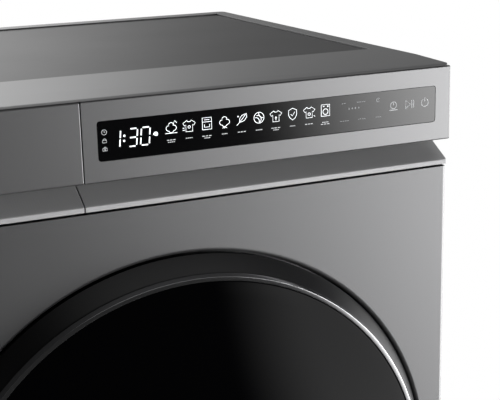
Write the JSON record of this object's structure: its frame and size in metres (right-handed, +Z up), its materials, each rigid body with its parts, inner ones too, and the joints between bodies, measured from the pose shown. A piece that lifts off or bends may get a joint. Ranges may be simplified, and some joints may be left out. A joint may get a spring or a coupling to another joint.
{
  "type": "clothes dryer",
  "caption": "Free-standing heat pump clothes dryer: graphite casing, touch display fascia, water tank drawer over a grip strip, and a round black glass door.",
  "frame": {"origin": "on the floor, under the middle of the whole machine's box, the proud door included", "axes": "+Z up, the front with the door faces -Y, +X to the right of a person facing the front"},
  "size_m": [0.595, 0.645, 0.85],
  "materials": {
    "body_steel": "satin graphite paint",
    "fascia": "fine brushed graphite, satin",
    "grip_strip": "dark, finely ribbed",
    "top_frame": "satin graphite",
    "top_panel": "dark satin laminate",
    "window": "black, polished",
    "door_black": "black, satin",
    "door_glass": "black, polished",
    "chrome_trim": "polished",
    "galvanised": "galvanised sheet",
    "stainless": "brushed",
    "aluminium": "finned",
    "cast": "black enamel",
    "grey_plastic": "moulded",
    "pale_plastic": "moulded",
    "black_plastic": "moulded",
    "clear_plastic": "translucent",
    "rubber": "matte",
    "felt": "pressed felt",
    "board": "laminated board"
  },
  "bodies": {
    "casing": {"left_side_panel": "body_steel", "right_side_panel": "body_steel", "front_panel": "body_steel", "kick_panel": "body_steel", "top_frame": "top_frame", "top_panel": "top_panel", "rear_panel": "galvanised", "rear_duct_cover": "galvanised", "rear_bearing": "stainless", "base_tray": "grey_plastic", "control_fascia": "fascia", "display_window": "window", "control_board": "board", "grip_strip": "grip_strip", "tank_housing": "grey_plastic", "hinge_bracket": "black_plastic", "door_catch": "black_plastic", "air_collar": "grey_plastic", "door_gasket": "rubber", "front_bulkhead": "galvanised", "front_felt_seal": "felt", "motor_housing": "galvanised", "drum_belt": "rubber", "tensioner_spring": "stainless", "evaporator": "aluminium", "condenser": "aluminium", "heat_pump_cover": "pale_plastic", "compressor": "cast", "fan_housing": "pale_plastic", "condensate_pump": "grey_plastic", "front_crossbar": "galvanised", "mains_inlet": "black_plastic"},
    "door": {"door_ring": "door_black", "door_trim_ring": "chrome_trim", "door_glass": "door_glass", "door_inner_frame": "door_black", "door_bowl": "clear_plastic", "hinge_arm": "black_plastic"},
    "latch_hook": {"door_hook": "stainless"},
    "tank": {"tank_facing": "fascia", "tank_grip_strip": "grip_strip", "water_tank": "clear_plastic"},
    "filter": {"lint_filter": "pale_plastic"},
    "flap": {"service_flap": "body_steel"},
    "drum": {"drum_shell": "stainless", "drum_back": "stainless", "drum_shaft": "stainless", "lifter_1": "grey_plastic", "lifter_2": "grey_plastic", "lifter_3": "grey_plastic"},
    "motor_rotor": {"motor_pulley": "stainless", "fan_wheel": "grey_plastic"},
    "left_roller": {"roller_left": "rubber"},
    "right_roller": {"roller_right": "rubber"},
    "tensioner": {"tensioner_arm": "galvanised"},
    "idler": {"idler_pulley": "grey_plastic"},
    "levelling_foot_1": {"foot_1": "rubber"},
    "levelling_foot_2": {"foot_2": "rubber"},
    "levelling_foot_3": {"foot_3": "rubber"},
    "levelling_foot_4": {"foot_4": "rubber"}
  },
  "joints": [
    {"name": "door_hinge", "type": "hinge", "parent": "casing", "child": "door", "pos_m": [0.2735, -0.283, 0.4178], "axis": [0, 0, 1], "range_deg": [0, 155]},
    {"name": "hook_pivot", "type": "hinge", "parent": "door", "child": "latch_hook", "pos_m": [-0.248, -0.265, 0.4178], "axis": [0, 0, 1], "range_deg": [-10, 0], "stiffness_Nm_per_rad": 0.3},
    {"name": "tank_slide", "type": "slide", "parent": "casing", "child": "tank", "axis": [0, -1, 0], "range_m": [0, 0.4]},
    {"name": "filter_slide", "type": "slide", "parent": "casing", "child": "filter", "axis": [0, 0, 1], "range_m": [0, 0.11]},
    {"name": "flap_hinge", "type": "hinge", "parent": "casing", "child": "flap", "pos_m": [-0.1575, -0.2695, 0.038], "axis": [1, 0, 0], "range_deg": [0, 95]},
    {"name": "drum_spin", "type": "hinge", "parent": "casing", "child": "drum", "pos_m": [0, 0.019, 0.45], "axis": [0, 1, 0], "continuous": true},
    {"name": "motor_spin", "type": "hinge", "parent": "casing", "child": "motor_rotor", "pos_m": [0.17, 0.076, 0.085], "axis": [0, 1, 0], "continuous": true},
    {"name": "left_roller_spin", "type": "hinge", "parent": "casing", "child": "left_roller", "pos_m": [-0.17959, -0.1867, 0.19352], "axis": [0, 1, 0], "continuous": true},
    {"name": "right_roller_spin", "type": "hinge", "parent": "casing", "child": "right_roller", "pos_m": [0.17959, -0.1867, 0.19352], "axis": [0, 1, 0], "continuous": true},
    {"name": "tensioner_pivot", "type": "hinge", "parent": "casing", "child": "tensioner", "pos_m": [0.105, 0.0583, 0.128], "axis": [0, 1, 0], "range_deg": [0, 6], "stiffness_Nm_per_rad": 3, "deforming": ["tensioner_spring"]},
    {"name": "idler_spin", "type": "hinge", "parent": "tensioner", "child": "idler", "pos_m": [0.06, 0.05, 0.126], "axis": [0, 1, 0], "continuous": true},
    {"name": "foot_thread_1", "type": "slide", "parent": "casing", "child": "levelling_foot_1", "axis": [0, 0, -1], "range_m": [0, 0.01]},
    {"name": "foot_thread_2", "type": "slide", "parent": "casing", "child": "levelling_foot_2", "axis": [0, 0, -1], "range_m": [0, 0.01]},
    {"name": "foot_thread_3", "type": "slide", "parent": "casing", "child": "levelling_foot_3", "axis": [0, 0, -1], "range_m": [0, 0.01]},
    {"name": "foot_thread_4", "type": "slide", "parent": "casing", "child": "levelling_foot_4", "axis": [0, 0, -1], "range_m": [0, 0.01]}
  ],
  "couplings": [
    {"joint": "motor_spin", "follows": "drum_spin", "ratio": 23.958},
    {"joint": "left_roller_spin", "follows": "drum_spin", "ratio": -11.5},
    {"joint": "right_roller_spin", "follows": "drum_spin", "ratio": -11.5},
    {"joint": "idler_spin", "follows": "drum_spin", "ratio": 19.167}
  ]
}
